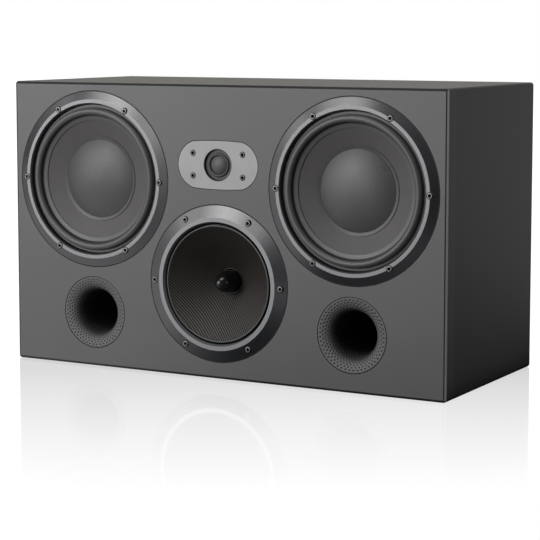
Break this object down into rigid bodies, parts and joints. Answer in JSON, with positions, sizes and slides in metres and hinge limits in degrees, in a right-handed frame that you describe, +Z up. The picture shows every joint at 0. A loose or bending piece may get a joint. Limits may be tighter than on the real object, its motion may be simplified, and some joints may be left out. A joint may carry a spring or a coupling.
{
  "type": "in-wall speaker",
  "caption": "Wide loudspeaker cabinet with bass drivers in bevelled rings, a woven-cone midrange with a bullet plug, a dome tweeter in an oval plate and dimpled reflex ports.",
  "frame": {"origin": "centre of the cabinet's underside", "axes": "+Z up, the front with the drivers faces -Y, +X to the right seen from the front"},
  "size_m": [0.678, 0.303, 0.403],
  "materials": {
    "front_paint": "satin dark grey paint on board",
    "wrap_paint": "satin charcoal paint on board",
    "inner_board": "raw fibreboard",
    "wadding": "polyester fleece",
    "chassis_metal": "dark satin casting with a bright turned lip",
    "surround_rubber": "satin black rubber",
    "woofer_cone": "matte warm grey skin",
    "dust_cap": "finely textured grey skin",
    "woven_cone": "coated black-brown weave",
    "plug_gloss": "polished black",
    "edge_foam": "black foam",
    "faceplate": "fine satin light grey",
    "dome_metal": "satin grey dome",
    "port_plastic": "matte dark grey moulding",
    "spider_cloth": "resin-treated cloth",
    "coil_copper": "copper winding",
    "motor_steel": "plated steel",
    "ferrite": "ground ferrite",
    "tray_plastic": "black moulding",
    "post_metal": "gold-plated brass",
    "knob_red": "clear red moulding",
    "knob_black": "black moulding",
    "board_resin": "green resin board",
    "capacitor_film": "yellow film"
  },
  "bodies": {
    "cabinet": {"front_baffle": "front_paint", "top_panel": "wrap_paint", "bottom_panel": "wrap_paint", "left_side_panel": "wrap_paint", "right_side_panel": "wrap_paint", "rear_panel": "wrap_paint", "window_brace": "inner_board", "midrange_chamber": "inner_board", "rear_wadding": "wadding", "woofer_spiders": "spider_cloth", "woofer_top_plates": "motor_steel", "woofer_magnets": "ferrite", "woofer_yokes": "motor_steel", "midrange_chassis": "chassis_metal", "midrange_spider": "spider_cloth", "midrange_top_plate": "motor_steel", "midrange_magnet": "ferrite", "midrange_yoke": "motor_steel", "midrange_edge_ring": "edge_foam", "midrange_phase_plug": "plug_gloss", "tweeter_faceplate": "faceplate", "tweeter_surround": "surround_rubber", "tweeter_top_plate": "motor_steel", "tweeter_magnet": "ferrite", "tweeter_yoke": "motor_steel", "terminal_tray": "tray_plastic", "positive_post": "post_metal", "negative_post": "post_metal", "crossover_board": "board_resin", "crossover_inductors": "coil_copper", "crossover_capacitors": "capacitor_film", "left_woofer_chassis": "chassis_metal", "left_woofer_surround": "surround_rubber", "left_port": "port_plastic", "right_woofer_chassis": "chassis_metal", "right_woofer_surround": "surround_rubber", "right_port": "port_plastic"},
    "left_woofer_diaphragm": {"left_woofer_cone": "woofer_cone", "left_woofer_dust_cap": "dust_cap", "left_woofer_voice_coil": "coil_copper"},
    "right_woofer_diaphragm": {"right_woofer_cone": "woofer_cone", "right_woofer_dust_cap": "dust_cap", "right_woofer_voice_coil": "coil_copper"},
    "midrange_diaphragm": {"midrange_cone": "woven_cone", "midrange_voice_coil": "coil_copper"},
    "tweeter_diaphragm": {"tweeter_dome": "dome_metal", "tweeter_voice_coil": "coil_copper"},
    "positive_clamp": {"positive_knob": "knob_red"},
    "negative_clamp": {"negative_knob": "knob_black"}
  },
  "joints": [
    {"name": "left_woofer_travel", "type": "slide", "parent": "cabinet", "child": "left_woofer_diaphragm", "axis": [0, 1, 0], "range_m": [-0.005, 0.005], "stiffness_N_per_m": 1500, "deforming": ["left_woofer_surround", "woofer_spiders"]},
    {"name": "right_woofer_travel", "type": "slide", "parent": "cabinet", "child": "right_woofer_diaphragm", "axis": [0, 1, 0], "range_m": [-0.005, 0.005], "stiffness_N_per_m": 1500, "deforming": ["right_woofer_surround", "woofer_spiders"]},
    {"name": "midrange_travel", "type": "slide", "parent": "cabinet", "child": "midrange_diaphragm", "axis": [0, 1, 0], "range_m": [-0.0015, 0.0015], "stiffness_N_per_m": 2500, "deforming": ["midrange_edge_ring", "midrange_spider"]},
    {"name": "tweeter_travel", "type": "slide", "parent": "cabinet", "child": "tweeter_diaphragm", "axis": [0, 1, 0], "range_m": [-0.0003, 0.0003], "stiffness_N_per_m": 3000, "deforming": ["tweeter_surround"]},
    {"name": "positive_knob_turn", "type": "hinge", "parent": "cabinet", "child": "positive_clamp", "pos_m": [-0.019, 0.131, 0.1], "axis": [0, 1, 0], "range_deg": [0, 360]},
    {"name": "negative_knob_turn", "type": "hinge", "parent": "cabinet", "child": "negative_clamp", "pos_m": [0.019, 0.131, 0.1], "axis": [0, 1, 0], "range_deg": [0, 360]}
  ]
}
